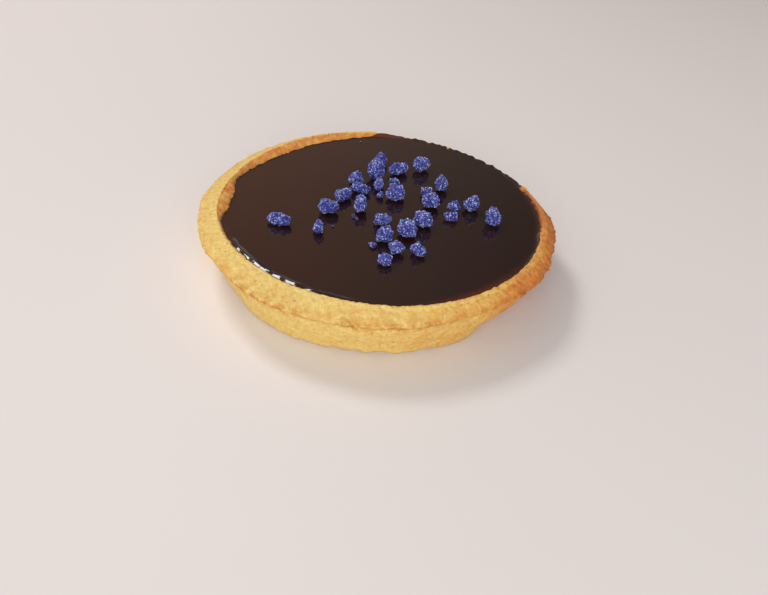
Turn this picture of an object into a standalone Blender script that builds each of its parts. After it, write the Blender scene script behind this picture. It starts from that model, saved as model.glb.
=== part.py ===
"""Chocolate tart, 100 mm across: a shortcrust shell, its set filling and candied violet sugar.

Metres, +Z up. The underside stands on Z = 0 and the shell's own axis is the Z axis. Angles run
counter-clockwise from +X. Every sub-part is a closed solid, GAP clear of the ones it rests on.
"""
import math
from math import cos, radians

import bmesh
import bpy
from mathutils import Matrix, Vector, noise

MM = 0.001
GAP = 0.3 * MM                  # clearance between solids that touch in the real tart
STEPS = 96                      # facets round a turned solid

# Crust: the section of the shell
LIP_RADIUS = 50.0 * MM          # widest circle of the rim
LIP_HEIGHT = 13.3 * MM
LIP_OVERHANG = 0.9 * MM         # how far the lip stands out over the wall below it
RIDGE_RADIUS = 45.3 * MM        # top edge of the rim, where the slope turns down to the filling
RIDGE_HEIGHT = 15.7 * MM
SHOULDER_RADIUS = RIDGE_RADIUS - 0.8 * MM   # inner wall at the filling's level
BASE_RADIUS = 44.6 * MM         # edge of the underside
BASE_ROUNDING = 1.1 * MM
FLOOR_THICKNESS = 3.4 * MM
WALL_THICKNESS = 5.2 * MM       # of the side wall, measured level

# Crust: slow waves round the unevenly pressed rim, as (waves in a turn, reach, turn in degrees)
RIDGE_WANDER = ((1, 1.31 * MM, -34), (2, 0.66 * MM, 109), (3, 0.33 * MM, 105), (4, 0.23 * MM, -63))
LIP_WANDER = ((2, 0.15 * MM, 40), (5, 0.20 * MM, 110), (9, 0.16 * MM, 15))

# Crust: thumb marks, each (centre in degrees, half width in degrees, depth); a negative one stands out
LIP_PRESSED = ((33, 28, 2.9 * MM), (67, 19, 1.7 * MM), (-9, 10, 0.5 * MM), (-36, 12, -0.4 * MM),
               (-148, 17, 0.4 * MM), (-166, 10, 0.8 * MM), (164, 14, 0.6 * MM))
INNER_PRESSED = ((125, 31, 2.6 * MM), (-178, 11, 2.3 * MM))     # the inner wall stands in here
WALL_PRESSED = ((-146, 13, 1.1 * MM),)
FOOT_PRESSED = ((-41, 12.5, 2.6 * MM),)
FOOT_LIFT = 0.31                # rise of the bottom edge for its depth there
RIM_WORN = ((53, 35, 1.0), (80, 11, 0.3))   # 1 brings the rim down to the filling's level

# Filling
FILLING_LEVEL = 14.5 * MM

# Candied violet: x, y, length, width, height (millimetres), turn (degrees), form
VIOLETS = (
    (-25.8, -12.2, 7.4, 4.0, 3.2, -14, "bar"),
    (-15.0, -15.0, 3.4, 3.2, 3.8, 20, "drop"),
    (-13.7, -4.7, 6.8, 4.9, 3.9, -8, "lump"),
    (-10.2, 2.7, 6.4, 3.8, 3.4, 50, "pair"),
    (-7.3, 12.4, 5.2, 4.4, 3.9, 10, "lump"),
    (-5.4, 7.3, 6.2, 3.7, 2.9, -8, "pair"),
    (-4.8, -2.8, 6.2, 3.9, 4.8, 85, "lump"),
    (-0.6, 25.2, 4.6, 4.2, 4.0, 30, "drop"),
    (-1.4, 16.4, 6.2, 5.8, 6.0, 40, "lump"),
    (-0.3, 9.9, 4.2, 3.3, 4.0, 80, "drop"),
    (0.5, 4.8, 2.4, 2.2, 2.0, 0, "lump"),
    (4.0, 11.8, 4.0, 3.6, 3.2, 20, "lump"),
    (4.8, 5.1, 5.7, 5.4, 4.6, 15, "lump"),
    (5.2, 20.2, 6.8, 4.2, 3.8, 32, "pair"),
    (12.2, 23.4, 5.6, 5.3, 4.9, 60, "lump"),
    (18.2, 11.6, 5.3, 4.2, 5.0, 70, "lump"),
    (13.6, 7.8, 3.7, 3.5, 3.2, 10, "lump"),
    (14.9, 1.8, 5.3, 5.1, 4.3, 0, "lump"),
    (12.7, -8.2, 6.2, 4.8, 4.6, -35, "lump"),
    (8.4, -13.6, 5.6, 5.4, 4.7, 5, "pair"),
    (1.7, -9.4, 5.2, 4.0, 3.4, -5, "pair"),
    (2.6, -16.7, 5.3, 5.0, 4.2, 15, "lump"),
    (5.8, -22.2, 4.6, 4.0, 3.4, 5, "lump"),
    (3.0, -27.2, 4.3, 3.6, 3.1, 0, "lump"),
    (11.3, -22.1, 4.4, 4.0, 3.6, -10, "drop"),
    (20.4, -4.4, 4.4, 3.1, 2.6, 0, "bar"),
    (21.4, 0.4, 3.9, 3.7, 3.2, 20, "lump"),
    (26.4, 1.4, 5.2, 5.0, 4.3, 30, "lump"),
    (31.9, -5.2, 4.7, 4.5, 5.2, -20, "drop"),
)


def fade(value, start, end):
    """0 at start, 1 at end, eased between and held outside."""
    share = min(max((value - start) / (end - start), 0.0), 1.0)
    return share * share * (3.0 - 2.0 * share)


def pressed(angle, marks):
    """Depth of all thumb marks at an angle in radians; each mark is flat-bottomed."""
    return sum(depth * math.exp(-(((math.degrees(angle) - centre + 180.0) % 360.0 - 180.0) / spread) ** 4)
               for centre, spread, depth in marks)


def waves(angle, terms):
    """Sum of a few waves round the rim, each (waves round, reach, turn in degrees)."""
    return sum(reach * cos(count * angle + radians(turn)) for count, reach, turn in terms)


def material(name, colour, roughness, coat=0.0):
    """A plain Principled material; colour is linear RGB."""
    made = bpy.data.materials.new(name)
    made.use_nodes = True
    made.diffuse_color = (*colour, 1.0)
    shader = made.node_tree.nodes["Principled BSDF"]
    shader.inputs["Base Color"].default_value = (*colour, 1.0)
    shader.inputs["Roughness"].default_value = roughness
    shader.inputs["Metallic"].default_value = 0.0
    shader.inputs["Coat Weight"].default_value = coat
    return made


def shade(mesh, sharp_angle):
    """Smooth shading, with edges steeper than sharp_angle (degrees) left sharp."""
    mesh.polygons.foreach_set("use_smooth", [True] * len(mesh.polygons))
    mesh.set_sharp_from_angle(angle=radians(sharp_angle))


def turned(name, profile, collection):
    """A plain mesh object made by turning a profile of (radius, height) points once about Z."""
    bm = bmesh.new()
    points = [bm.verts.new((radius, 0.0, height)) for radius, height in profile]
    for start, end in zip(points, points[1:]):
        bm.edges.new((start, end))
    outline = bpy.data.meshes.new(name + "_profile")
    bm.to_mesh(outline)
    bm.free()

    obj = bpy.data.objects.new(name, outline)
    collection.objects.link(obj)
    screw = obj.modifiers.new("turn", "SCREW")
    screw.steps = STEPS
    screw.render_steps = STEPS
    screw.use_merge_vertices = True
    screw.merge_threshold = 0.01 * MM

    solid = bpy.data.meshes.new_from_object(obj.evaluated_get(bpy.context.evaluated_depsgraph_get()))
    obj.modifiers.clear()
    obj.data = solid
    bpy.data.meshes.remove(outline)
    solid.name = name
    return obj


def inner_wall(inset):
    """The shell's inside from its floor's edge up to the shoulder below the ridge, moved in by inset."""
    foot = BASE_RADIUS - WALL_THICKNESS
    corner = 2.4 * MM
    line = [(foot - corner, FLOOR_THICKNESS),
            (foot - 0.3 * corner, FLOOR_THICKNESS + 0.3 * corner),
            (foot + 0.3 * MM, FLOOR_THICKNESS + corner),
            (SHOULDER_RADIUS - 1.6 * MM, 9.6 * MM),
            (SHOULDER_RADIUS, FILLING_LEVEL - 0.1 * MM)]
    return [(radius - inset, height + inset) for radius, height in line]


def crust_profile():
    """Section of the shell: floor, inner wall, rim, lip, outer wall and underside."""
    ridge = [(RIDGE_RADIUS - 0.45 * MM, RIDGE_HEIGHT - 0.4 * MM),
             (RIDGE_RADIUS - 0.1 * MM, RIDGE_HEIGHT - 0.08 * MM),
             (RIDGE_RADIUS + 0.3 * MM, RIDGE_HEIGHT)]
    slope = [(RIDGE_RADIUS + share * (LIP_RADIUS - RIDGE_RADIUS), RIDGE_HEIGHT - fall * MM)
             for share, fall in ((0.28, 0.38), (0.60, 1.02), (0.88, 1.62), (0.97, 1.88))]
    lip = [(LIP_RADIUS, LIP_HEIGHT),
           (LIP_RADIUS - 0.35 * LIP_OVERHANG, LIP_HEIGHT - 0.55 * MM),
           (LIP_RADIUS - LIP_OVERHANG, LIP_HEIGHT - 1.1 * MM)]
    wall = [(LIP_RADIUS - LIP_OVERHANG - 0.6 * MM, 10.4 * MM),
            (BASE_RADIUS + 2.2 * MM, 5.2 * MM),
            (BASE_RADIUS + 0.7 * MM, BASE_ROUNDING),
            (BASE_RADIUS, 0.3 * BASE_ROUNDING),
            (BASE_RADIUS - 0.9 * MM, 0.0)]
    return [(0.0, FLOOR_THICKNESS)] + inner_wall(0.0) + ridge + slope + lip + wall + [(0.0, 0.0)]


def filling_profile():
    """Section of the filling: level top, then the inner wall's line downwards, then its underside."""
    side = inner_wall(GAP)[::-1]
    top_edge = (side[0][0], FILLING_LEVEL)
    side[0] = (side[0][0] - 0.05 * MM, FILLING_LEVEL - 0.6 * MM)
    return [(0.0, FILLING_LEVEL), top_edge] + side + [(0.0, FLOOR_THICKNESS + GAP)]


def wander(mesh):
    """Moves a turned solid's points off the true circle, the same way for shell and filling."""
    worn_share = (RIDGE_HEIGHT - FILLING_LEVEL) / (RIDGE_HEIGHT - LIP_HEIGHT)
    for vertex in mesh.vertices:
        radius, height = vertex.co.xy.length, vertex.co.z
        if radius < 1.0 * MM:
            continue
        angle = math.atan2(vertex.co.y, vertex.co.x)

        # how much a point follows the ridge, the shoulder, the lip, the wall or the bottom edge
        at_shoulder, above = 0.0, (height - LIP_HEIGHT) * worn_share
        at_ridge = (1.0 - fade(radius, RIDGE_RADIUS, LIP_RADIUS)) * fade(height, 12.5 * MM, 13.0 * MM)
        if radius < RIDGE_RADIUS:
            at_ridge = fade(height, 5.0 * MM, FILLING_LEVEL)
            at_shoulder = at_ridge * (1.0 - fade(radius, SHOULDER_RADIUS, RIDGE_RADIUS - 0.1 * MM))
            above = height - FILLING_LEVEL
        at_lip = fade(radius, RIDGE_RADIUS, LIP_RADIUS) * fade(height, 4.0 * MM, LIP_HEIGHT)
        outside = fade(radius, BASE_RADIUS - 3.0 * MM, BASE_RADIUS - 1.0 * MM)
        at_wall = outside * (1.0 - fade(height, 10.4 * MM, 12.4 * MM))
        at_foot = outside * (1.0 - fade(height, 0.0, 8.0 * MM))

        foot = at_foot * pressed(angle, FOOT_PRESSED)
        outward = at_ridge * waves(angle, RIDGE_WANDER) - at_shoulder * pressed(angle, INNER_PRESSED)
        outward += at_lip * (waves(angle, LIP_WANDER) - pressed(angle, LIP_PRESSED))
        outward -= foot + at_wall * pressed(angle, WALL_PRESSED)
        upward = foot * FOOT_LIFT * fade(height, 0.0, 0.3 * MM)
        upward -= max(above, 0.0) * pressed(angle, RIM_WORN)

        vertex.co.x *= 1.0 + outward / radius
        vertex.co.y *= 1.0 + outward / radius
        vertex.co.z += upward


def crust(collection):
    """Shortcrust shell: thick floor, sloping wall and a broad rim that falls outwards to the lip."""
    obj = turned("crust", crust_profile(), collection)
    wander(obj.data)
    obj.data.materials.append(material("crust", (0.70, 0.43, 0.13), 0.75))
    shade(obj.data, 50)


def filling(collection):
    """Set chocolate that fills the shell to just under its rim."""
    obj = turned("filling", filling_profile(), collection)
    wander(obj.data)
    obj.data.materials.append(material("chocolate_glaze", (0.022, 0.011, 0.008), 0.06, coat=1.0))
    shade(obj.data, 40)


def violet(index, row, collection):
    """One lump of violet sugar that lies on the filling."""
    x, y, length, width, height, turn, form = row
    bm = bmesh.new()
    bmesh.ops.create_icosphere(bm, subdivisions=2, radius=1.0)
    seed = Vector((3.7 * index, 1.9 * index, 0.0))
    for vertex in bm.verts:
        out = vertex.co.normalized()
        swell = 1.0 + 0.22 * noise.noise(out * 1.3 + seed)
        if form == "pair":              # two lobes with a waist between
            swell *= 1.0 - 0.26 * math.exp(-(out.x / 0.4) ** 2)
        if form == "drop":              # drawn up to a point
            swell *= 1.0 - 0.22 * (1.0 - out.z ** 2) * fade(out.z, -0.4, 0.5)
        vertex.co = out * swell
        if form == "bar":               # blunt ends
            vertex.co.x = math.copysign(abs(vertex.co.x) ** 0.75, vertex.co.x)
        if vertex.co.z < 0.0:
            vertex.co.z *= 0.7          # it settles on a flatter side

    low = [min(vertex.co[axis] for vertex in bm.verts) for axis in range(3)]
    high = [max(vertex.co[axis] for vertex in bm.verts) for axis in range(3)]
    size = (length * MM, width * MM, height * MM)
    for vertex in bm.verts:
        share = [(vertex.co[axis] - low[axis]) / (high[axis] - low[axis]) for axis in range(3)]
        vertex.co = ((share[0] - 0.5) * size[0], (share[1] - 0.5) * size[1], share[2] * size[2])

    mesh = bpy.data.meshes.new("violet_%02d" % index)
    bm.to_mesh(mesh)
    bm.free()
    obj = bpy.data.objects.new(mesh.name, mesh)
    collection.objects.link(obj)
    obj.matrix_world = (Matrix.Translation((x * MM, y * MM, FILLING_LEVEL + GAP))
                        @ Matrix.Rotation(radians(turn), 4, "Z"))
    mesh.materials.append(material(mesh.name, (0.06, 0.07, 0.36), 0.45))
    shade(mesh, 60)


def main():
    for obj in list(bpy.data.objects):
        bpy.data.objects.remove(obj, do_unlink=True)
    tart = bpy.data.collections.new("chocolate_tart")
    bpy.context.scene.collection.children.link(tart)
    crust(tart)
    filling(tart)
    for index, row in enumerate(VIOLETS, start=1):
        violet(index, row, tart)


main()
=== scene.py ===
# %% [markdown]
# # Chocolate tart
#
# A tart for one, about 100 mm across. Three things give it its looks: a sandy shortcrust shell
# whose rim was pressed by hand, a mirror glaze of chocolate poured level inside it, and lumps of
# candied violet that lie on the glaze. The frame brings the true sizes; each piece below is a
# finely detailed skin over its plain solids.

# %% The frame
from math import radians

import bmesh
import bpy
import numpy as np
from mathutils import Matrix, Vector, noise
from mathutils.bvhtree import BVHTree


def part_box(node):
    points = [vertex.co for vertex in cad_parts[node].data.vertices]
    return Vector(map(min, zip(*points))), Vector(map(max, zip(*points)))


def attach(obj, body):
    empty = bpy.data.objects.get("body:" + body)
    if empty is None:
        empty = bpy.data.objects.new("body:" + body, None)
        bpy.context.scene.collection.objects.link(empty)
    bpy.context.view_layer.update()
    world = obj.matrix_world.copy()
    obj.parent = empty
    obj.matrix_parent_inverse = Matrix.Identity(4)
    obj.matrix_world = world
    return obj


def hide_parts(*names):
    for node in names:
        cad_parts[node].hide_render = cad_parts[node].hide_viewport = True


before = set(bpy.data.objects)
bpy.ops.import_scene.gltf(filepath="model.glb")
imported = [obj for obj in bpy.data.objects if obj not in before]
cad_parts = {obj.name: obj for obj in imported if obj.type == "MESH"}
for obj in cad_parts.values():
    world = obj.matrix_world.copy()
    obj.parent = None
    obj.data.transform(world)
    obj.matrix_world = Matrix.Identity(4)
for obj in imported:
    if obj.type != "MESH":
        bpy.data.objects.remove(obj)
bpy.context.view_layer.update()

MM = 0.001
crust_low, crust_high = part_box("crust")
filling_low, filling_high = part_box("filling")
FILLING_LEVEL = filling_high.z
print("crust %.1f x %.1f mm, filling level %.1f mm"
      % ((crust_high.x - crust_low.x) / MM, (crust_high.y - crust_low.y) / MM, FILLING_LEVEL / MM))

# %% [markdown]
# ## Camera, floor and light
#
# Food like this is photographed from close by, a little above, with a short lens, so the front of
# the tart looks larger than its back. The light is a window behind the left shoulder of the tart,
# softened by a bounce card in front. A glaze is a mirror: what it shows is the room, so the far
# side of the room is warm brown, like wood, and falls gently from light on the left to dark on the
# right; one even grey would lie on the chocolate like fog. Colours are shown as they are mixed,
# with Blender's Standard view: food looks dull through a film-like one.

# %% Camera
camera = bpy.data.objects.new("camera", bpy.data.cameras.new("camera"))
bpy.context.scene.collection.objects.link(camera)
camera.data.sensor_width = 36.0
camera.data.lens = 29.4
camera.data.clip_start = 0.005
bpy.context.scene.view_settings.view_transform = "Standard"
CAMERA_PLACE = (3.5 * MM, -153.8 * MM, 107.2 * MM)
PITCH, ROLL = 50.74, 3.91
camera.matrix_world = (Matrix.Translation(CAMERA_PLACE)
                       @ Matrix.Rotation(radians(PITCH), 4, "X")
                       @ Matrix.Rotation(radians(ROLL), 4, "Z"))
bpy.context.scene.camera = camera
print("camera %.0f mm from the tart" % (camera.location.length / MM))


# %% Helpers for node trees
def add(tree, kind, inputs=None, **settings):
    """A new node. inputs fills its sockets by name or number: a socket is linked, a value set."""
    node = tree.nodes.new(kind)
    for name, value in settings.items():
        setattr(node, name, value)
    for key, value in (inputs or {}).items():
        if isinstance(value, bpy.types.NodeSocket):
            tree.links.new(value, node.inputs[key])
        else:
            node.inputs[key].default_value = value
    return node


def blank_material(name):
    """A new material with a Principled shader; returns the material, its tree and the shader."""
    made = bpy.data.materials.new(name)
    made.use_nodes = True
    return made, made.node_tree, made.node_tree.nodes["Principled BSDF"]


def ramp(tree, factor, stops):
    """A colour ramp's output; stops are (place, grey value or colour)."""
    node = add(tree, "ShaderNodeValToRGB", {"Fac": factor})
    while len(node.color_ramp.elements) < len(stops):
        node.color_ramp.elements.new(0.5)
    for element, (place, colour) in zip(node.color_ramp.elements, stops):
        element.position = place
        shade = colour if isinstance(colour, tuple) else (colour, colour, colour)
        element.color = (*shade, 1.0)
    return node.outputs["Color"]


def mix(tree, factor, first, second, blend="MIX"):
    """The colour between two colours, or a blend of them."""
    node = add(tree, "ShaderNodeMix", data_type="RGBA", blend_type=blend, clamp_result=False)
    for key, value in ((0, factor), (6, first), (7, second)):
        if isinstance(value, bpy.types.NodeSocket):
            tree.links.new(value, node.inputs[key])
        else:
            node.inputs[key].default_value = (*value, 1.0) if isinstance(value, tuple) else value
    return node.outputs[2]


def maths(tree, operation, first, second=0.0, third=0.0, clamp=False):
    """The output of a Math node, in a shader or a geometry tree."""
    return add(tree, "ShaderNodeMath", {0: first, 1: second, 2: third},
               operation=operation, use_clamp=clamp).outputs[0]


# %% Floor
FLOOR_COLOUR = (0.76, 0.70, 0.67)
floor_mesh = bpy.data.meshes.new("floor")
bm = bmesh.new()
bmesh.ops.create_grid(bm, x_segments=1, y_segments=1, size=1.5)
bm.to_mesh(floor_mesh)
bm.free()
floor = bpy.data.objects.new("floor", floor_mesh)
bpy.context.scene.collection.objects.link(floor)
floor_finish, _, shader = blank_material("pale_floor")
shader.inputs["Base Color"].default_value = (*FLOOR_COLOUR, 1.0)
shader.inputs["Roughness"].default_value = 0.6
floor_mesh.materials.append(floor_finish)


# %% Lights
def soft_light(name, place, target, width, height, power, colour):
    """A rectangular light at place, turned to face target."""
    data = bpy.data.lights.new(name, "AREA")
    data.shape = "RECTANGLE"
    data.size, data.size_y = width, height
    data.energy = power
    data.color = colour
    light = bpy.data.objects.new(name, data)
    bpy.context.scene.collection.objects.link(light)
    light.location = place
    light.rotation_euler = (Vector(target) - Vector(place)).to_track_quat("-Z", "Y").to_euler()
    return light


TART = (0, 0, 0)
soft_light("window", (-0.44, 0.47, 0.79), TART, width=0.27, height=0.27, power=3.9,
           colour=(0.95, 0.97, 0.97))
bounce = soft_light("bounce", (0.08, -0.86, 0.50), TART, width=1.0, height=0.7, power=8.4,
                    colour=(0.92, 0.97, 1.0))
# a card this large would show in the glaze as a white sheet when seen from behind
bounce.visible_glossy = False
print("lights: a window behind the left shoulder, a bounce card in front")

# %% [markdown]
# The room is a background of soft gradients, read by direction. Only its far side, and only above
# the table's level, is brown: so the glaze finds it, while a view from low down still has a plain
# pale backdrop. A picture of a real room would do too, but a few gradients are easier to steer.

# %% The room that the glaze mirrors
NEUTRAL = (0.95, 0.97, 0.99)
LEFT_WALL, RIGHT_WALL = (0.84, 0.43, 0.28), (0.74, 0.76, 0.66)
ROOM_BRIGHTNESS, FALL_TO_RIGHT = 0.69, 0.59

world = bpy.data.worlds.new("room")
bpy.context.scene.world = world
world.use_nodes = True
room = world.node_tree
direction = add(room, "ShaderNodeTexCoord").outputs["Generated"]
towards = add(room, "ShaderNodeSeparateXYZ", {0: direction})
to_right, to_back, overhead = (
    add(room, "ShaderNodeMapRange", {0: towards.outputs[axis], 1: start, 2: end},
        interpolation_type="SMOOTHSTEP").outputs[0]
    for axis, start, end in (("X", -0.35, 0.40), ("Y", 0.05, 0.45), ("Z", 0.10, 0.24)))
back_wall = mix(room, to_right, LEFT_WALL, RIGHT_WALL)
walled = maths(room, "MULTIPLY", to_back, overhead)
darkened = maths(room, "MULTIPLY", to_right, overhead)
background = room.nodes["Background"].inputs
room.links.new(mix(room, walled, NEUTRAL, back_wall), background["Color"])
room.links.new(maths(room, "MULTIPLY_ADD", darkened, -FALL_TO_RIGHT, ROOM_BRIGHTNESS),
               background["Strength"])
print("room: strength %.2f on the left, %.2f on the right"
      % (ROOM_BRIGHTNESS, ROOM_BRIGHTNESS - FALL_TO_RIGHT))

# %% [markdown]
# ## The shell's form
#
# Shortcrust is pressed into a plain tin by thumb: the wall follows the tin, and the rim is whatever
# the thumbs left. So the section is turned round the axis as in a lathe, and then its ridge, lip
# and bottom edge wander by a few slow waves. Numpy does the whole shell at once: one row of
# points for each angle, one column for each step along the section.

# %% Sizes of the section
LIP_RADIUS = 50.0 * MM
LIP_HEIGHT = 13.3 * MM
LIP_OVERHANG = 0.9 * MM
RIDGE_RADIUS = 45.3 * MM
RIDGE_HEIGHT = 15.7 * MM
SHOULDER_RADIUS = RIDGE_RADIUS - 0.8 * MM
BASE_RADIUS = 44.6 * MM
BASE_ROUNDING = 1.1 * MM
FLOOR_THICKNESS = filling_low.z - 0.3 * MM
WALL_THICKNESS = 5.2 * MM

# slow waves round the rim: waves in a turn, reach, turn in degrees
RIDGE_WANDER = ((1, 1.31 * MM, -34), (2, 0.66 * MM, 109), (3, 0.33 * MM, 105), (4, 0.23 * MM, -63))
LIP_WANDER = ((2, 0.15 * MM, 40), (5, 0.20 * MM, 110), (9, 0.16 * MM, 15))
# thumb marks, each a centre and a half width in degrees, and how deep it goes
LIP_PRESSED = ((33, 28, 2.9 * MM), (67, 19, 1.7 * MM), (-9, 10, 0.5 * MM), (-36, 12, -0.4 * MM),
               (-148, 17, 0.4 * MM), (-166, 10, 0.8 * MM), (164, 14, 0.6 * MM))
INNER_PRESSED = ((125, 31, 2.6 * MM), (-178, 11, 2.3 * MM), (-13, 2.5, 0.7 * MM))
WALL_PRESSED = ((-146, 13, 1.1 * MM),)
# where the rim is worn down towards the filling: centre and half width in degrees, share
RIM_WORN = ((53, 35, 1.0), (80, 11, 0.3))
WORN_SHARE = (RIDGE_HEIGHT - FILLING_LEVEL) / (RIDGE_HEIGHT - LIP_HEIGHT)
FOOT_PRESSED = ((-41, 12.5, 2.6 * MM),)
# a pressed foot also rises, by this share of how deep it is pressed
FOOT_LIFT = 0.31


# %% Helpers for forms
def fade(value, start, end):
    """0 at start, 1 at end, eased between and held outside."""
    share = np.clip((value - start) / (end - start), 0.0, 1.0)
    return share * share * (3.0 - 2.0 * share)


def near(angle, centre, spread, power=2):
    """1 at the centre angle and falling off to both sides, all in degrees but the angle."""
    off = (np.degrees(angle) - centre + 180.0) % 360.0 - 180.0
    return np.exp(-np.abs(off / spread) ** power)


def pressed(angle, marks):
    """Depth of all thumb marks at an angle; a thumb leaves a flat-bottomed mark."""
    return sum(depth * near(angle, centre, spread, 4) for centre, spread, depth in marks)


def waves(angle, terms):
    """Sum of a few waves round the rim, each (waves round, reach, turn in degrees)."""
    return sum(reach * np.cos(count * angle + radians(turn)) for count, reach, turn in terms)


def ragged(angles, size, seed):
    """Noise from -1 to 1 round a circle of LIP_RADIUS, in bites of about the given size."""
    ring = LIP_RADIUS / size
    values = [noise.noise(Vector((ring * np.cos(a), ring * np.sin(a), seed)))
              for a in angles.ravel()]
    return np.array(values).reshape(angles.shape) * 1.6


def resample(points, spacing):
    """Points at about even steps along a smooth curve through the given (radius, height) points."""
    points = np.array(points)
    before = np.vstack([2 * points[0] - points[1], points[:-2]])
    beyond = np.vstack([points[2:], 2 * points[-1] - points[-2]])
    line = [points[0]]
    for prior, start, end, following in zip(before, points[:-1], points[1:], beyond):
        count = max(5, int(round(np.linalg.norm(end - start) / spacing)))
        for t in np.arange(1, count + 1) / count:
            line.append(0.5 * (2 * start + (end - prior) * t
                               + (2 * prior - 5 * start + 4 * end - following) * t ** 2
                               + (3 * start - prior - 3 * end + following) * t ** 3))
    return np.array(line)


# %% The section, and how it wanders
def visible_section(spacing):
    """From the shoulder just under the filling's level, over the rim and down the outer wall."""
    line = [(SHOULDER_RADIUS - 0.5 * MM, FILLING_LEVEL - 2.5 * MM),
            (SHOULDER_RADIUS, FILLING_LEVEL - 0.1 * MM),
            (RIDGE_RADIUS - 0.45 * MM, RIDGE_HEIGHT - 0.40 * MM),
            (RIDGE_RADIUS - 0.1 * MM, RIDGE_HEIGHT - 0.08 * MM),
            (RIDGE_RADIUS + 0.3 * MM, RIDGE_HEIGHT)]
    line += [(RIDGE_RADIUS + share * (LIP_RADIUS - RIDGE_RADIUS), RIDGE_HEIGHT - fall * MM)
             for share, fall in ((0.28, 0.38), (0.60, 1.02), (0.88, 1.62), (0.97, 1.88))]
    line += [(LIP_RADIUS, LIP_HEIGHT),
             (LIP_RADIUS - 0.35 * LIP_OVERHANG, LIP_HEIGHT - 0.55 * MM),
             (LIP_RADIUS - LIP_OVERHANG, LIP_HEIGHT - 1.1 * MM),
             (LIP_RADIUS - LIP_OVERHANG - 0.6 * MM, 10.4 * MM),
             (BASE_RADIUS + 2.2 * MM, 5.2 * MM),
             (BASE_RADIUS + 0.7 * MM, BASE_ROUNDING),
             (BASE_RADIUS, 0.3 * BASE_ROUNDING),
             (BASE_RADIUS - 0.9 * MM, 0.0)]
    return resample(line, spacing)


def wander(radius, height, angle):
    """Where a point of the true section lies on the unevenly pressed shell."""
    inside = fade(height, 5.0 * MM, FILLING_LEVEL)
    outside = (1.0 - fade(radius, RIDGE_RADIUS, LIP_RADIUS)) * fade(height, 12.5 * MM, 13.0 * MM)
    at_ridge = np.where(radius < RIDGE_RADIUS, inside, outside)
    at_lip = fade(radius, RIDGE_RADIUS, LIP_RADIUS) * fade(height, 4.0 * MM, LIP_HEIGHT)
    at_shoulder = inside * (1.0 - fade(radius, SHOULDER_RADIUS, RIDGE_RADIUS - 0.1 * MM))
    outer = fade(radius, BASE_RADIUS - 3.0 * MM, BASE_RADIUS - 1.0 * MM)
    at_wall = outer * (1.0 - fade(height, 10.4 * MM, 12.4 * MM))
    at_foot = outer * (1.0 - fade(height, 0.0, 8.0 * MM))
    foot = at_foot * pressed(angle, FOOT_PRESSED)

    new_radius = (radius + at_ridge * waves(angle, RIDGE_WANDER)
                  - at_shoulder * pressed(angle, INNER_PRESSED))
    new_radius += at_lip * (waves(angle, LIP_WANDER) - pressed(angle, LIP_PRESSED))
    new_radius -= foot + at_wall * pressed(angle, WALL_PRESSED)
    new_height = height + foot * FOOT_LIFT * fade(height, 0.0, 0.3 * MM)
    worn = np.where(radius < RIDGE_RADIUS, height - FILLING_LEVEL,
                    (height - LIP_HEIGHT) * WORN_SHARE)
    new_height -= np.clip(worn, 0.0, None) * pressed(angle, RIM_WORN)
    return new_radius, new_height


print("section: %d steps" % len(visible_section(0.3 * MM)))

# %% [markdown]
# The slow waves make the shell hand-pressed; shorter bites make it pastry. The lip crumbles a
# little, the crease under it opens and closes, and the bottom edge lost small crumbs when the
# tart left its tin. These bites move whole points of the section, so they show in the outline.

# %% Shorter bites
# places where the bottom edge lost a flake: centre and half width in degrees, share
FOOT_BITES = ((-99, 2.0, 1.0), (-86, 2.5, 1.0), (-72, 3.0, 0.5))
# the glaze ran over the rim between these angles, and lies on a crust that is a little lower there
SPILL_START, SPILL_END = 17, 97
SPILL_SINK = 0.35 * MM
# where the crease tore and toasted: centre and half width in degrees, share
CREASE_TORN = ((-121, 13, 1.0), (-95, 4, 1.0), (-80, 9, 0.8), (-20, 12, 0.7))
# crumbs that stand up on the crest: centre and half width in degrees, height
RIM_CHIPS = ((19.5, 1.5, 0.6 * MM), (62, 1.3, 0.40 * MM), (75, 1.7, 0.35 * MM),
             (-178, 3.0, 0.15 * MM))


def spill_share(angle):
    """1 where the glaze ran over the worn rim, 0 elsewhere."""
    turn = np.degrees(angle) % 360.0
    return fade(turn, SPILL_START, SPILL_START + 7) * (1.0 - fade(turn, SPILL_END - 8, SPILL_END))


def crease_opening(angle):
    """How far the crease under the lip gapes: closed at 0, a slit at 1."""
    torn = ragged(angle, 5.0 * MM, 31.0) + 0.35 + 0.4 * pressed(angle, CREASE_TORN)
    return np.clip(torn, 0.0, 1.0) * (0.7 + 0.5 * ragged(angle, 1.5 * MM, 35.0))


def band(value, centre, reach):
    """1 at the centre, falling off over about the given reach to both sides."""
    return np.exp(-((value - centre) / reach) ** 2)


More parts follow.
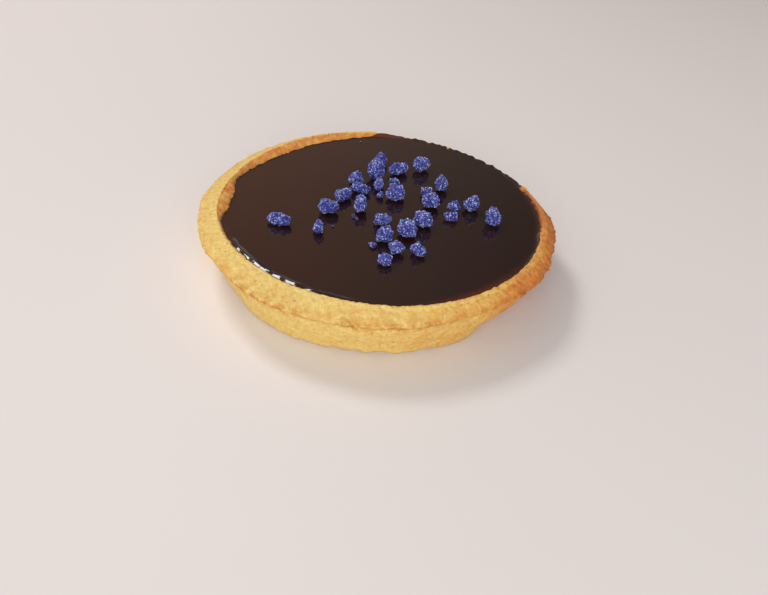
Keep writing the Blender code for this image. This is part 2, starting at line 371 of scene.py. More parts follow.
def unevenness(radius, height, angle, section_radius, section_height):
    """The shorter bites, each only near its own part of the section."""
    lip = np.exp(-((section_radius - LIP_RADIUS) / (0.9 * MM)) ** 2
                 - ((section_height - LIP_HEIGHT) / (1.1 * MM)) ** 2)
    on_rim = fade(section_height, FILLING_LEVEL - 0.5 * MM, RIDGE_HEIGHT)
    foot = ((1.0 - fade(section_height, 0.2 * MM, 2.2 * MM))
            * fade(section_radius, 41 * MM, 43.5 * MM))
    crease = band(section_height, LIP_HEIGHT - 1.5 * MM, 0.6 * MM)
    outer = section_radius > BASE_RADIUS

    crumbly = 0.10 * MM + 0.24 * MM * near(angle, 0, 60)
    radius = radius + lip * (0.16 * MM * ragged(angle, 4.0 * MM, 3.1)
                             + crumbly * ragged(angle, 1.4 * MM, 8.2))
    height = height + on_rim * (0.10 * MM * ragged(angle, 9.0 * MM, 1.7)
                                + 0.07 * MM * ragged(angle, 2.2 * MM, 5.4)
                                + pressed(angle, RIM_CHIPS) - SPILL_SINK * spill_share(angle))
    bites = (np.clip(ragged(angle, 2.6 * MM, 12.6) - 0.20, 0.0, 1.0)
             + 0.7 * pressed(angle, FOOT_BITES))
    ragged_foot = 0.25 * MM * (ragged(angle, 6.0 * MM, 21.0) + 0.5)
    radius = radius - foot * (1.1 * MM * bites + ragged_foot)
    height = height + foot * 0.6 * MM * bites * fade(section_height, 0.0, 0.3 * MM)
    radius = radius - np.where(outer, crease * 0.60 * MM * crease_opening(angle), 0.0)
    return radius, height


print("bites: %d out of the bottom edge, %d crumbs on the crest"
      % (len(FOOT_BITES), len(RIM_CHIPS)))

# %% [markdown]
# A section turned round an axis is a grid: rows for the angles, columns along the section. The
# Screw modifier makes one too, but it turns every section alike, and here no two are. So the
# faces are numbered directly, in an order that turns them outwards, with a fan at either end.

# %% A closed mesh from a grid
STEPS = 800
SPACING = 0.3 * MM
TURNS = (np.arange(STEPS) * 2.0 * np.pi / STEPS)[:, None]


def grid_mesh(name, radius, height, angle, top_height, bottom_height):
    """A mesh from a grid of (angle row, section column) points, with a centre at either end."""
    rows, columns = radius.shape
    points = np.stack([radius * np.cos(angle), radius * np.sin(angle), height], axis=-1)
    points = points.reshape(-1, 3)
    number = np.arange(rows * columns).reshape(rows, columns)
    following = np.roll(number, -1, axis=0)
    quads = np.stack([number[:, :-1], number[:, 1:], following[:, 1:], following[:, :-1]], axis=-1)
    faces = [tuple(face) for face in quads.reshape(-1, 4).tolist()]
    top, bottom = len(points), len(points) + 1
    faces += [(top, a, b) for a, b in zip(number[:, 0].tolist(), following[:, 0].tolist())]
    faces += [(bottom, b, a) for a, b in zip(number[:, -1].tolist(), following[:, -1].tolist())]
    centres = [(0.0, 0.0, top_height), (0.0, 0.0, bottom_height)]
    mesh = bpy.data.meshes.new(name)
    mesh.from_pydata(points.tolist() + centres, [], faces)
    mesh.validate()
    obj = bpy.data.objects.new(name, mesh)
    bpy.context.scene.collection.objects.link(obj)
    return obj


# %% The shell
def shell_grid():
    """All points of the shell: hidden inside, visible section, underside."""
    seen = visible_section(SPACING)
    foot = BASE_RADIUS - WALL_THICKNESS
    hidden = np.array([(foot * 0.4, FLOOR_THICKNESS),
                       (foot * 0.8, FLOOR_THICKNESS),
                       (foot - 0.5 * MM, FLOOR_THICKNESS + 1.0 * MM),
                       (foot + 1.0 * MM, 7.0 * MM)])
    under = np.array([(BASE_RADIUS * share, 0.0) for share in (0.93, 0.7, 0.35)])
    section = np.vstack([hidden, seen, under])
    angle = TURNS + np.zeros(len(section))
    section_radius = np.broadcast_to(section[:, 0], angle.shape)
    section_height = np.broadcast_to(section[:, 1], angle.shape)
    radius, height = wander(section_radius, section_height, angle)
    radius, height = unevenness(radius, height, angle, section_radius, section_height)
    return radius, height, angle, section_radius, section_height


radius, height, angle, section_radius, section_height = shell_grid()
pastry = grid_mesh("shortcrust_shell", radius, height, angle, FLOOR_THICKNESS, 0.0)
print("shell: %d points" % len(pastry.data.vertices))

# %% [markdown]
# Where the shell browns, and where shade and highlight are painted on it, depends on where a point
# lies on the section, and that is known only here, before the relief moves the points. So each
# place gets a share, 0 away from it and about 1 at its middle, kept on the points as an attribute
# that the material reads by name.


# %% Where the shell browns, and where shade and highlight are painted
def store(mesh, name, values):
    """Keeps one number for each point on the mesh, for a node tree to read by name."""
    attribute = mesh.attributes.new(name, "FLOAT", "POINT")
    full = np.zeros(len(mesh.vertices), dtype=np.float32)
    full[:values.size] = values.ravel()
    attribute.data.foreach_set("value", full)


# painted highlight: how much paler a crumb on the crest is painted, for each metre it stands up
CHIP_PAINTED_HIGHLIGHT = 5.5 / MM
on_outside = section_radius > BASE_RADIUS
above_filling = section_height > FILLING_LEVEL
crease = (band(section_height, LIP_HEIGHT - 0.6 * MM, 1.6 * MM) * on_outside
          * (0.30 + 0.70 * pressed(angle, CREASE_TORN)))
# painted shade: the slits where the crease gapes are painted near-black brown
slit = (band(section_height, LIP_HEIGHT - 1.5 * MM, 0.35 * MM) * on_outside
        * np.clip(1.6 * crease_opening(angle) - 0.5, 0.0, 1.0))
lip = band(section_radius, LIP_RADIUS, 1.0 * MM) * fade(section_height, 11.5 * MM, 12.8 * MM)
# at the front right the whole slope of the rim took colour
lip += (1.1 * near(angle, -42, 20) * (section_height > LIP_HEIGHT)
        * fade(section_radius, RIDGE_RADIUS + 0.2 * MM, RIDGE_RADIUS + 1.0 * MM))
# the inner wall toasts and carries painted shade, darker where it faces away from the window;
# at the left this runs on over the crest, at the front right, facing the window, it stays pale
over_crest = near(angle, 158, 48, 4)
inner_wall = ((1.0 - fade(section_radius, RIDGE_RADIUS - (0.4 - 0.3 * over_crest) * MM,
                          RIDGE_RADIUS + 0.7 * over_crest * MM))
              * (section_height > 9.0 * MM) * (1.0 - 0.9 * near(angle, -32, 24)))
# painted highlight, a paler colour: the crest itself, its chips, and a thin edge at the front right
crest_highlight = band(section_radius, RIDGE_RADIUS + 0.9 * MM, 0.5 * MM) * above_filling
crest_highlight += CHIP_PAINTED_HIGHLIGHT * pressed(angle, RIM_CHIPS) * above_filling
crest_highlight += (2.4 * band(section_radius, RIDGE_RADIUS - 0.35 * MM, 0.25 * MM)
               * near(angle, -32, 30, 4) * (section_height > FILLING_LEVEL - 0.4 * MM))
places = {"crease": crease, "slit": slit, "lip": lip, "inner_wall": inner_wall,
          "browned_side": near(angle, 4, 64), "crest": crest_highlight}
for name, values in places.items():
    store(pastry.data, name, values)
print("browning: %s" % ", ".join(places))

# %% [markdown]
# Sandy relief belongs in the mesh as far as it casts shadows: grains and pits of about a
# millimetre. A geometry tree moves each point along its normal by layered noise, which
# takes a second for a quarter of a million points and leaves three plain sizes to turn.


# %% Sandy relief
def crumb_relief(obj, swell, swell_size, grain, grain_size, pit, pit_size):
    """Raises obj by slow swells and fine grain and sinks pits in it, as a plain mesh again."""
    tree = bpy.data.node_groups.new("crumb_relief", "GeometryNodeTree")
    tree.interface.new_socket("Geometry", in_out="INPUT", socket_type="NodeSocketGeometry")
    tree.interface.new_socket("Geometry", in_out="OUTPUT", socket_type="NodeSocketGeometry")
    sizes = {}
    for name, value in (("Swell", swell), ("Swell Size", swell_size), ("Grain", grain),
                        ("Grain Size", grain_size), ("Pit", pit), ("Pit Size", pit_size)):
        socket = tree.interface.new_socket(name, in_out="INPUT", socket_type="NodeSocketFloat")
        sizes[socket.identifier] = value
    entry = add(tree, "NodeGroupInput")
    place = add(tree, "GeometryNodeInputPosition").outputs[0]

    def noise_of(size_name, detail, shift):
        scale = maths(tree, "DIVIDE", 1.0, entry.outputs[size_name])
        moved = add(tree, "ShaderNodeVectorMath", {0: place, 1: (shift, 0.0, 0.0)},
                    operation="ADD").outputs[0]
        value = add(tree, "ShaderNodeTexNoise", {"Vector": moved, "Scale": scale, "Detail": detail,
                                                 "Roughness": 0.6}).outputs[0]
        return maths(tree, "SUBTRACT", value, 0.5)

    swells = maths(tree, "MULTIPLY", noise_of("Swell Size", 2.0, 0.0), entry.outputs["Swell"])
    grains = maths(tree, "MULTIPLY", noise_of("Grain Size", 3.0, 0.4), entry.outputs["Grain"])
    rise = maths(tree, "ADD", swells, grains)
    cells = add(tree, "ShaderNodeTexVoronoi", {
        "Vector": place, "Scale": maths(tree, "DIVIDE", 1.0, entry.outputs["Pit Size"]),
        "Randomness": 1.0})
    sunk = add(tree, "ShaderNodeMapRange", {
        0: cells.outputs["Distance"], 1: 0.05, 2: 0.30, 3: 1.0, 4: 0.0},
        interpolation_type="SMOOTHSTEP").outputs[0]
    # a bit under half of the cells hold a pit
    drawn = add(tree, "FunctionNodeSeparateColor", {0: cells.outputs["Color"]}).outputs[0]
    sunk = maths(tree, "MULTIPLY", sunk, maths(tree, "GREATER_THAN", drawn, 0.55))
    rise = maths(tree, "SUBTRACT", rise, maths(tree, "MULTIPLY", sunk, entry.outputs["Pit"]))
    # the underside stays flat
    up = add(tree, "ShaderNodeSeparateXYZ", {0: place}).outputs[2]
    above_base = add(tree, "ShaderNodeMapRange", {0: up, 1: 0.0, 2: 0.4 * MM}).outputs[0]
    rise = maths(tree, "MULTIPLY", rise, above_base)
    normal = add(tree, "GeometryNodeInputNormal").outputs[0]
    offset = add(tree, "ShaderNodeVectorMath", {0: normal, "Scale": rise},
                 operation="SCALE").outputs[0]
    moved = add(tree, "GeometryNodeSetPosition",
                {"Geometry": entry.outputs["Geometry"], "Offset": offset})
    add(tree, "NodeGroupOutput", {"Geometry": moved.outputs[0]})

    modifier = obj.modifiers.new("relief", "NODES")
    modifier.node_group = tree
    for identifier, value in sizes.items():
        modifier[identifier] = value
    plain(obj)


def plain(obj):
    """Turns what the modifiers make into the object's own mesh."""
    shown = obj.evaluated_get(bpy.context.evaluated_depsgraph_get())
    made = bpy.data.meshes.new_from_object(shown)
    obj.modifiers.clear()
    obj.data = made


crumb_relief(pastry, swell=0.60 * MM, swell_size=5.0 * MM, grain=0.90 * MM, grain_size=1.1 * MM,
             pit=0.48 * MM, pit_size=1.6 * MM)
pastry.data.polygons.foreach_set("use_smooth", [True] * len(pastry.data.polygons))

# %% [markdown]
# ## Shortcrust finish
#
# Baked butter dough is pale yellow with a sandy tooth. It browns first where it stands out or lies
# open to the oven: the lip, the inside of the rim, the crumbs in the crease, and here one side
# more than the other. Painted shade darkens the inside of the rim where it faces away from the
# window and the slits of the crease, and a painted highlight makes the crest and its crumbs paler;
# the sandy grain is darker in its dips, partly painted shade. So the colour is a mix from pale to
# toasted, driven by those places and broken by noise, with small brown specks of caramelised
# butter. The sandy noise serves the sugar as well, so it is a group.


# %% The sandy group
def sand_group():
    """Group: fine grain as a height and as a mask of small dark specks, at a given grain size."""
    group = bpy.data.node_groups.new("sand", "ShaderNodeTree")
    group.interface.new_socket("Grain Size", in_out="INPUT", socket_type="NodeSocketFloat")
    group.interface.new_socket("Height", in_out="OUTPUT", socket_type="NodeSocketFloat")
    group.interface.new_socket("Specks", in_out="OUTPUT", socket_type="NodeSocketFloat")
    entry = add(group, "NodeGroupInput")
    place = add(group, "ShaderNodeTexCoord").outputs["Object"]
    scale = maths(group, "DIVIDE", 1.0, entry.outputs["Grain Size"])
    grain = add(group, "ShaderNodeTexNoise", {"Vector": place, "Scale": scale, "Detail": 5.0,
                                              "Roughness": 0.68}).outputs[0]
    cells = add(group, "ShaderNodeTexVoronoi", {
        "Vector": place, "Scale": maths(group, "MULTIPLY", scale, 0.45)})
    spot = ramp(group, cells.outputs["Distance"], ((0.05, 1.0), (0.25, 0.0)))
    # one cell in five holds a speck
    drawn = add(group, "ShaderNodeSeparateColor", {0: cells.outputs["Color"]}).outputs[0]
    specks = maths(group, "MULTIPLY", spot, maths(group, "GREATER_THAN", drawn, 0.80))
    add(group, "NodeGroupOutput", {"Height": grain, "Specks": specks})
    return group


SAND = sand_group()


# %% Shortcrust
# how much each place browns, with painted shade on the inner wall and a painted highlight on the
# crest (negative), and how much each pattern breaks it up
BROWNING_AND_PAINTED_LIGHT = (("browned_side", 0.72), ("inner_wall", 0.52), ("lip", 0.14), ("crest", -0.18))
CLOUD_SHARE, PATCH_SHARE, GRAIN_SHARE = 0.60, 0.80, 0.60


def shortcrust_finish():
    """Pale yellow to toasted orange, browned crease, specks, painted shade and highlight, sandy
    relief.
    """
    made, tree, shader = blank_material("shortcrust")
    place = add(tree, "ShaderNodeTexCoord").outputs["Object"]

    def part(name):
        return add(tree, "ShaderNodeAttribute", attribute_name=name).outputs["Fac"]

    cloud = add(tree, "ShaderNodeTexNoise", {"Vector": place, "Scale": 130.0, "Detail": 4.0,
                                             "Roughness": 0.62}).outputs[0]
    patch = add(tree, "ShaderNodeTexNoise", {"Vector": place, "Scale": 520.0, "Detail": 4.0,
                                             "Roughness": 0.7}).outputs[0]
    sand = add(tree, "ShaderNodeGroup", node_tree=SAND)
    sand.inputs["Grain Size"].default_value = 0.75 * MM

    toast_and_painted_light = 0.0
    for name, share in BROWNING_AND_PAINTED_LIGHT:
        toast_and_painted_light = maths(tree, "MULTIPLY_ADD", part(name), share, toast_and_painted_light)
    grain = sand.outputs["Height"]
    for pattern, reach in ((cloud, CLOUD_SHARE), (patch, PATCH_SHARE), (grain, GRAIN_SHARE)):
        swing = maths(tree, "MULTIPLY", maths(tree, "SUBTRACT", pattern, 0.5), reach)
        toast_and_painted_light = maths(tree, "ADD", toast_and_painted_light, swing)
    colour = ramp(tree, toast_and_painted_light, ((0.0, (0.83, 0.60, 0.20)), (0.30, (0.78, 0.46, 0.120)),
                               (0.62, (0.68, 0.235, 0.052)), (1.0, (0.40, 0.115, 0.026))))
    # the bump's own height: the grain's tone, and painted shade, darker in its dips and paler on
    # its bumps
    grains = ramp(tree, grain, ((0.28, (0.86, 0.66, 0.42)), (0.50, (1.0, 0.98, 0.96)),
                                (0.72, (1.08, 1.12, 1.25))))
    colour = mix(tree, 1.0, colour, grains, "MULTIPLY")

    crumbs = maths(tree, "MULTIPLY_ADD", grain, 0.8, patch)
    broken = ramp(tree, crumbs, ((0.84, 0.0), (0.96, 1.0)))
    crease = maths(tree, "MULTIPLY", part("crease"), broken)
    colour = mix(tree, maths(tree, "MULTIPLY", crease, 0.95), colour, (0.50, 0.18, 0.034))
    # painted shade in the gaping slits of the crease
    colour = mix(tree, maths(tree, "MULTIPLY", part("slit"), 0.80), colour, (0.22, 0.07, 0.015))
    specks = maths(tree, "MULTIPLY", sand.outputs["Specks"], 0.75)
    colour = mix(tree, specks, colour, (0.40, 0.15, 0.03))

    tree.links.new(colour, shader.inputs["Base Color"])
    shader.inputs["Roughness"].default_value = 0.78
    shader.inputs["Specular IOR Level"].default_value = 0.35
    bump = add(tree, "ShaderNodeBump", {"Height": grain, "Strength": 0.9, "Distance": 0.45 * MM})
    tree.links.new(bump.outputs[0], shader.inputs["Normal"])
    return made


pastry.data.materials.append(shortcrust_finish())
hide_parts("crust")
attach(pastry, "root")

# %% [markdown]
# ## The glaze
#
# The filling was poured warm and set level. At its edge it wets the crust and creeps up a little,
# a meniscus that catches the window as broken bright dashes. Where the rim is low it ran over it
# and set as a thin dark skin with a ragged edge. One height for each point makes both: the higher
# of the level pool and a thin skin that lies on the rim, both read from the same section as the
# shell, so glaze and crust can't drift apart.

# %% Where the glaze ends
# the bead at the front left and a lower climb at the right: centre and half width in degrees, share
BEAD = ((-125, 29, 1.0),)
CLIMB = ((-6, 27, 1.0),)
# how far up towards the crest the climb gets, where the bead gets all the way
CLIMB_REACH = 0.45


def crest(angles):
    """Radius of the rim's crest."""
    return RIDGE_RADIUS + waves(angles, RIDGE_WANDER)


def pool_edge(angles):
    """Radius of the inner wall at the filling's level."""
    return SHOULDER_RADIUS + waves(angles, RIDGE_WANDER) - pressed(angles, INNER_PRESSED)


def glaze_edge(angles):
    """Radius at which the glaze ends: at the inner wall, in the bead near the crest, or over it."""
    held = pool_edge(angles) + 0.20 * MM + 0.13 * MM * ragged(angles, 2.6 * MM, 44.0)
    beaded = crest(angles) - 0.35 * MM + 0.15 * MM * ragged(angles, 3.0 * MM, 47.0)
    ran_to = (crest(angles) + 0.55 * MM + 0.38 * MM * ragged(angles, 1.7 * MM, 51.0)
              + 0.25 * MM * ragged(angles, 6.0 * MM, 57.0))
    risen = pressed(angles, BEAD) + CLIMB_REACH * pressed(angles, CLIMB)
    edge = held + (beaded - held) * risen
    return edge + (ran_to - edge) * spill_share(angles)


edges = glaze_edge(TURNS)
print("glaze ends %.1f to %.1f mm from the axis" % (edges.min() / MM, edges.max() / MM))

# %% [markdown]
# The pool is level but for its edge, so its height depends on how far in from that edge a point
# lies. The bead is a rounded ridge along the edge. Its outer slope falls steeply, except in a few
# short places, where it lies flat enough to mirror the window.

# %% The level pool
MENISCUS_RISE, MENISCUS_WIDTH = 0.22 * MM, 0.45 * MM
CLIMB_RISE, CLIMB_WIDTH = 0.45 * MM, 0.45 * MM
BEAD_RISE, BEAD_WIDTH, BEAD_TOP = 0.85 * MM, 2.6 * MM, 1.0 * MM
# where the bead mirrors the window: centre and half width in degrees
GLINTS = ((-146, 4.0), (-138, 1.6), (-131, 4.0), (-113, 3.6), (-104, 3.0))
# a spilt edge rounds down over the first, by the second
EDGE_ROUNDING, EDGE_DROP = 0.5 * MM, 0.40 * MM


def rounded(inwards):
    """0 at the very edge, rising steeply at first, and 1 from EDGE_ROUNDING inwards."""
    return np.sqrt(np.clip(inwards / EDGE_ROUNDING, 0.0, 1.0))


def pool_height(angles, inwards, spilt):
    """Height of the pool at given distances in from the glaze's edge."""
    meniscus = MENISCUS_RISE * np.clip(0.6 + 0.5 * ragged(angles, 4.0 * MM, 63.0), 0.1, 1.2)
    creep = (meniscus * np.exp(-inwards / MENISCUS_WIDTH)
             + CLIMB_RISE * pressed(angles, CLIMB) * np.exp(-inwards / CLIMB_WIDTH))
    pool = FILLING_LEVEL + creep * (1.0 - spilt)
    lumpy = np.clip(0.85 + 0.20 * ragged(angles, 3.2 * MM, 71.0)
                    + 0.04 * ragged(angles, 1.3 * MM, 75.0), 0.3, 1.2)
    fall = 0.60 - 0.24 * sum(near(angles, centre, spread) for centre, spread in GLINTS)
    bead = ((1.0 - fade(inwards, BEAD_TOP, BEAD_WIDTH))
            - fall * (1.0 - inwards / BEAD_TOP).clip(0.0) ** 1.1)
    pool += BEAD_RISE * pressed(angles, BEAD) * lumpy * bead
    return pool - EDGE_DROP * (1.0 - rounded(inwards)) * spilt


# %% [markdown]
# The skin follows the crust under it, sunk by a hair, so that single crumbs break through. At the
# far rim the glaze was smeared, so it ends more smoothly there and shows more of its red. Two
# numbers go with each point for the material: how thin the glaze is, joined by a painted red glow
# near the front right edge, and how dull.

# %% The skin on the rim
FILM, SMEAR_FILM = 0.09 * MM, 0.14 * MM
SKIN_SINK = 0.05 * MM
# pool and skin run into one another over about this height
BLEND = 0.05 * MM


def rim_height(angles, radii):
    """Height of the crust at given radii, one row for each angle, from the wandering section."""
    section = visible_section(0.4 * MM)
    top = section[:np.argmax(section[:, 0]) + 1]
    heights = np.empty_like(radii)
    for row, here in enumerate(angles[:, 0]):
        r, h = wander(top[:, 0], top[:, 1], np.full(len(top), here))
        order = np.argsort(r)
        heights[row] = np.interp(radii[row], r[order], h[order], left=0.0)
    return heights


def thin_and_dull(angles, radii, inwards, cover, smear, spilt):
    """How thin the glaze is, plus a painted red glow, and how dull; 0 on the open pool; cover:
    depth.
    """
    thin = np.exp(-cover / ((0.12 + 0.5 * smear) * MM)) * (0.15 + 0.85 * smear)
    # painted light: a red glow painted in a band two millimetres wide along the front right edge
    glow = 0.72 * band(inwards, 0.0, 2.0 * MM) * near(angles, -54, 20)
    gloss_end = crest(angles) - (0.1 + 1.5 * near(angles, 25, 8)) * MM
    skin = fade(radii, gloss_end, gloss_end + 0.4 * MM) * spilt
    climb = 0.25 * np.exp(-inwards / (0.6 * MM)) * near(angles, -6, 30, 4)
    bead_foot = band(inwards, 1.9 * MM, 0.7 * MM)
    bead = (0.05 * np.exp(-inwards / (0.8 * MM)) + 0.30 * bead_foot) * pressed(angles, BEAD)
    return np.maximum(thin, glow), np.maximum(np.maximum(skin, climb), bead)


# %% The glaze
def glaze_grid():
    """Radius, height and angle of every point of the glaze, and how thin and dull it is."""
    # wide rows on the open pool, closer and closer ones towards the edge
    far = np.linspace(0.06, 0.90, 16)
    close = 1.0 - 0.10 * (1.0 - np.linspace(0.0, 1.0, 46)[1:]) ** 1.7
    angles = TURNS
    radii = edges * np.concatenate([far, close])[None, :]
    inwards = radii[:, -1:] - radii
    crust_under = rim_height(angles, radii)
    spilt = spill_share(angles)
    smear = near(angles, 89, 9, 4)

    pool = pool_height(angles, inwards, spilt)
    skin = crust_under + (FILM + (SMEAR_FILM - FILM) * smear) * rounded(inwards) - SKIN_SINK
    top = BLEND * np.logaddexp(pool / BLEND, skin / BLEND)
    top += (0.38 * MM * ragged(angles, 1.7 * MM, 83.0) * np.exp(-inwards / (0.7 * MM))
            * spilt * (1.0 - smear))
    cover = np.clip(top - crust_under, 0.0, None)
    thin, dull = thin_and_dull(angles, radii, inwards, cover, smear, spilt)

    # under its edge and down inside the shell, out of sight
    foot = BASE_RADIUS - WALL_THICKNESS
    low_radii = np.broadcast_to([foot + 1.2 * MM, foot - 2.0 * MM, 0.5 * foot], (STEPS, 3))
    low_heights = np.broadcast_to([8.0 * MM, filling_low.z, filling_low.z], (STEPS, 3))
    under_heights = np.full((STEPS, 1), FILLING_LEVEL - 1.6 * MM)
    radius = np.hstack([radii, pool_edge(angles) - 0.6 * MM, low_radii])
    height = np.hstack([top, under_heights, low_heights])
    thin, dull = (np.hstack([value, np.zeros((STEPS, 4))]) for value in (thin, dull))
    return radius, height, np.broadcast_to(angles, radius.shape), thin, dull


radius, height, angle, thin, dull = glaze_grid()
glaze = grid_mesh("chocolate_glaze", radius, height, angle, FILLING_LEVEL, filling_low.z)
# thin holds the red of thin glaze and the painted red glow as well
store(glaze.data, "thin", thin)
store(glaze.data, "dull", dull)
glaze.data.polygons.foreach_set("use_smooth", [True] * len(glaze.data.polygons))
print("glaze: %d points" % len(glaze.data.vertices))


# %% Chocolate
def chocolate_finish():
    """Near-black brown with a mirror gloss, red where the glaze is thin, and a painted red glow."""
    made, tree, shader = blank_material("chocolate")
    place = add(tree, "ShaderNodeTexCoord").outputs["Object"]
    thin_and_glow_here = add(tree, "ShaderNodeAttribute", attribute_name="thin").outputs["Fac"]
    cloud = add(tree, "ShaderNodeTexNoise",
                {"Vector": place, "Scale": 60.0, "Detail": 3.0}).outputs[0]
    deep = mix(tree, cloud, (0.0180, 0.0070, 0.0054), (0.0240, 0.0086, 0.0066))
    # the red of thin glaze, and the painted red glow near the front right edge
    glow = ramp(tree, thin_and_glow_here, ((0.05, 0.0), (0.85, 1.0)))
    colour = mix(tree, glow, deep, (0.13, 0.027, 0.013))
    tree.links.new(colour, shader.inputs["Base Color"])
    dull_here = add(tree, "ShaderNodeAttribute", attribute_name="dull").outputs["Fac"]
    gloss = ramp(tree, cloud, ((0.3, 0.045), (0.7, 0.085)))
    tree.links.new(maths(tree, "MULTIPLY_ADD", dull_here, 0.80, gloss), shader.inputs["Roughness"])
    shader.inputs["IOR"].default_value = 1.5
    ripple = add(tree, "ShaderNodeTexNoise",
                 {"Vector": place, "Scale": 90.0, "Detail": 2.0}).outputs[0]
    bump = add(tree, "ShaderNodeBump", {"Height": ripple, "Strength": 0.25, "Distance": 0.08 * MM})
    tree.links.new(bump.outputs[0], shader.inputs["Normal"])
    return made


glaze.data.materials.append(chocolate_finish())
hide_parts("filling")
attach(glaze, "root")

# %% [markdown]
# ## Candied violet
#
# Each lump is a bit of violet petal boiled in sugar until it grains: a knobbly core crusted with
# sugar crystals of an eighth to three eighths of a millimetre. The cores are balls of fine
# faces, each drawn in until it fits its plain solid, then made knobbly. Crystals are scattered on
# them by a geometry tree, because a few thousand little blocks must be spread evenly, turned at
# random and sunk half into the core, and one tree does that for all lumps at once.

# %% Cores
violet_nodes = sorted(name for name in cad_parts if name.startswith("violet_"))
# how deep a lump's foot sits in the glaze that set round it
FOOT_SUNK = 0.12 * MM
# loose crumbs beside the lumps: x, y and size
CRUMBS = ((-6.4, -6.4, 1.1), (-5.4, -7.3, 0.8), (-11.5, -11.9, 0.6), (-0.2, -20.1, 1.6),
          (-1.1, -19.2, 0.8), (-7.7, 40.3, 0.35), (26.6, 25.6, 0.28), (35.2, 6.0, 0.28))


def add_ball(bm, subdivisions):
    """Adds a ball of radius 1 and returns its points."""
    return bmesh.ops.create_icosphere(bm, subdivisions=subdivisions, radius=1.0)["verts"]


def violet_cores():
    """All lumps as one mesh: each ball is drawn in onto its solid and roughened."""
    bm = bmesh.new()
    for index, name in enumerate(violet_nodes):
        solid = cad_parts[name].data
        tree = BVHTree.FromPolygons([v.co for v in solid.vertices],
                                    [p.vertices for p in solid.polygons])
        low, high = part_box(name)
        middle, reach = (low + high) / 2, (high - low).length
        points = add_ball(bm, 4)
        for vertex in points:
            out = vertex.co.normalized()
            hit = tree.ray_cast(middle + out * reach, -out)[0]
            vertex.co = hit if hit else middle
        bmesh.ops.smooth_vert(bm, verts=points, factor=0.6,
                              use_axis_x=True, use_axis_y=True, use_axis_z=True)
        for vertex in points:
            out = (vertex.co - middle).normalized()
            spot = vertex.co / MM
            small = noise.noise(spot * 1.7 + Vector((7, 0, index)))
            knobs = 0.75 * noise.noise(spot * 0.7) + 0.34 * small
            vertex.co += out * min(knobs - 0.36, 0.0) * MM
        top, bottom = (pick(vertex.co.z for vertex in points) for pick in (max, min))
        stretch = (top - FILLING_LEVEL + FOOT_SUNK) / (top - bottom)
        for vertex in points:
            vertex.co.z = top - (top - vertex.co.z) * stretch
    for x, y, size in CRUMBS:
        for vertex in add_ball(bm, 2):
            spot = vertex.co * 1.4 + Vector((x, y, 0))
            vertex.co *= (0.5 + 0.3 * noise.noise(spot)) * size * MM
            vertex.co += Vector((x * MM, y * MM, FILLING_LEVEL + 0.3 * size * MM))
    mesh = bpy.data.meshes.new("violet_cores")
    bm.to_mesh(mesh)
    bm.free()
    mesh.polygons.foreach_set("use_smooth", [True] * len(mesh.polygons))
    obj = bpy.data.objects.new("violet_cores", mesh)
    bpy.context.scene.collection.objects.link(obj)
    return obj


cores = violet_cores()
print("violet cores: %d lumps, %d faces" % (len(violet_nodes), len(cores.data.polygons)))


# %% Crystals
def sugar_crystals(name, base, spacing, smallest, largest, seed, finish):
    """Little blocks of sugar scattered on base, as one plain mesh; each keeps a random tone."""
    tree = bpy.data.node_groups.new(name, "GeometryNodeTree")
    tree.interface.new_socket("Geometry", in_out="OUTPUT", socket_type="NodeSocketGeometry")
    sizes = {}
    for title, kind, value in (("Base", "NodeSocketObject", base),
                               ("Spacing", "NodeSocketFloat", spacing),
                               ("Smallest", "NodeSocketFloat", smallest),
                               ("Largest", "NodeSocketFloat", largest),
                               ("Seed", "NodeSocketInt", seed)):
        socket = tree.interface.new_socket(title, in_out="INPUT", socket_type=kind)
        sizes[socket.identifier] = value
    entry = add(tree, "NodeGroupInput").outputs
    ground = add(tree, "GeometryNodeObjectInfo", {"Object": entry["Base"]}).outputs["Geometry"]
    # so dense that the spacing alone decides how many there are
    scatter = add(tree, "GeometryNodeDistributePointsOnFaces", {
        "Mesh": ground, "Distance Min": entry["Spacing"], "Density Max": 4.0e7,
        "Seed": entry["Seed"]}, distribute_method="POISSON")
    block = add(tree, "GeometryNodeMeshCube", {"Size": (1.0, 0.8, 0.65)})
    turn = add(tree, "FunctionNodeRandomValue",
               {0: (0.0, 0.0, 0.0), 1: (6.28, 6.28, 6.28), "Seed": 3}, data_type="FLOAT_VECTOR")
    size = add(tree, "FunctionNodeRandomValue",
               {2: entry["Smallest"], 3: entry["Largest"], "Seed": 5})
    placed = add(tree, "GeometryNodeInstanceOnPoints", {
        "Points": scatter.outputs["Points"], "Instance": block.outputs["Mesh"],
        "Rotation": turn.outputs[0], "Scale": size.outputs[1]})
    tone = add(tree, "FunctionNodeRandomValue", {2: 0.0, 3: 1.0, "Seed": 9})
    kept = add(tree, "GeometryNodeStoreNamedAttribute", {
        "Geometry": placed.outputs[0], "Name": "tone", "Value": tone.outputs[1]}, domain="INSTANCE")
    solid = add(tree, "GeometryNodeRealizeInstances", {"Geometry": kept.outputs[0]})
    dressed = add(tree, "GeometryNodeSetMaterial",
                  {"Geometry": solid.outputs[0], "Material": finish})
    add(tree, "NodeGroupOutput", {"Geometry": dressed.outputs[0]})

    obj = bpy.data.objects.new(name, bpy.data.meshes.new(name))
    bpy.context.scene.collection.objects.link(obj)
    modifier = obj.modifiers.new("scatter", "NODES")
    modifier.node_group = tree
    for identifier, value in sizes.items():
        modifier[identifier] = value
    plain(obj)
    return obj


# %% [markdown]
# The sugar's colour is a blue violet that pales to near white on the crystals the light gets
# into. Each crystal keeps one random number, its tone, so neighbours differ as real grains do.


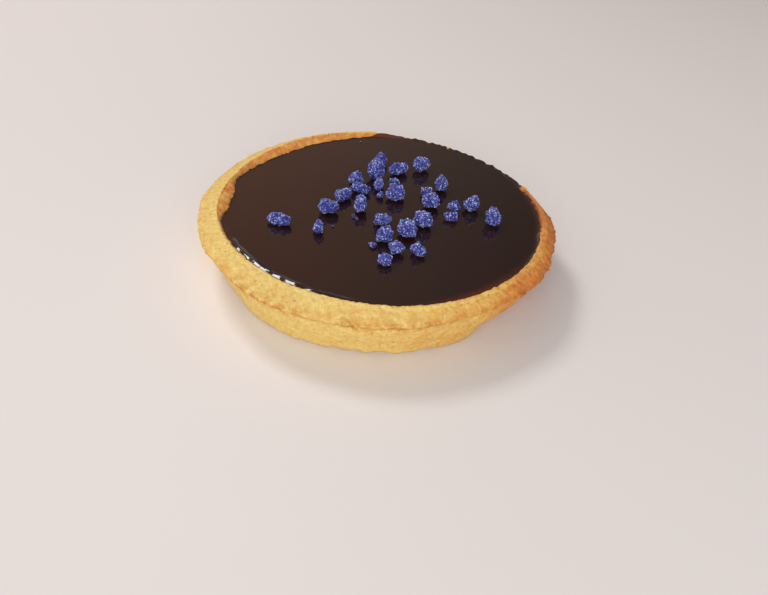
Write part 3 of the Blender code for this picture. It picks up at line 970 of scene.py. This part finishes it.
# %% Violet sugar
def violet_finish(name, dark, middle, pale, roughness):
    """Violet sugar: from dark to pale by each crystal's tone and by noise, with painted shade at
    the foot.
    """
    made, tree, shader = blank_material(name)
    place = add(tree, "ShaderNodeTexCoord").outputs["Object"]
    tone = add(tree, "ShaderNodeAttribute", attribute_name="tone").outputs["Fac"]
    blotch = add(tree, "ShaderNodeTexNoise",
                 {"Vector": place, "Scale": 700.0, "Detail": 3.0}).outputs[0]
    amount = maths(tree, "MULTIPLY_ADD", blotch, 0.9, -0.35)
    amount = maths(tree, "MULTIPLY_ADD", tone, 0.8, amount, clamp=True)
    colour = ramp(tree, amount, ((0.10, dark), (0.60, middle), (0.95, pale)))
    up = add(tree, "ShaderNodeSeparateXYZ", {0: place}).outputs[2]
    # painted shade: darker, redder purple towards the foot, within a millimetre and a half of the
    # glaze
    painted_foot_shade = add(tree, "ShaderNodeMapRange", {
        0: up, 1: FILLING_LEVEL - 0.1 * MM, 2: FILLING_LEVEL + 1.5 * MM,
        3: 0.95, 4: 0.0}).outputs[0]
    colour = mix(tree, painted_foot_shade, colour, (0.040, 0.016, 0.060))
    tree.links.new(colour, shader.inputs["Base Color"])
    shader.inputs["Roughness"].default_value = roughness
    shader.inputs["Subsurface Weight"].default_value = 0.08
    shader.inputs["Subsurface Radius"].default_value = (0.5, 0.5, 1.0)
    shader.inputs["Subsurface Scale"].default_value = 0.5 * MM
    sand = add(tree, "ShaderNodeGroup", node_tree=SAND)
    sand.inputs["Grain Size"].default_value = 0.35 * MM
    bump = add(tree, "ShaderNodeBump", {"Height": sand.outputs["Height"], "Strength": 0.5,
                                        "Distance": 0.1 * MM})
    tree.links.new(bump.outputs[0], shader.inputs["Normal"])
    return made


core_finish = violet_finish("violet_core", dark=(0.026, 0.028, 0.18), middle=(0.090, 0.105, 0.45),
                            pale=(0.20, 0.23, 0.66), roughness=0.5)
cores.data.materials.append(core_finish)
crystal_finish = violet_finish("violet_crystal", dark=(0.030, 0.033, 0.21),
                               middle=(0.18, 0.205, 0.66), pale=(0.80, 0.84, 1.0), roughness=0.25)
crystals = sugar_crystals("violet_crystals", cores, spacing=0.30 * MM, smallest=0.12 * MM,
                          largest=0.38 * MM, seed=11, finish=crystal_finish)
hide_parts(*violet_nodes)
for piece in (cores, crystals):
    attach(piece, "root")
print("crystals: %d faces" % len(crystals.data.polygons))

# %% The scene brought up to date
bpy.context.view_layer.update()
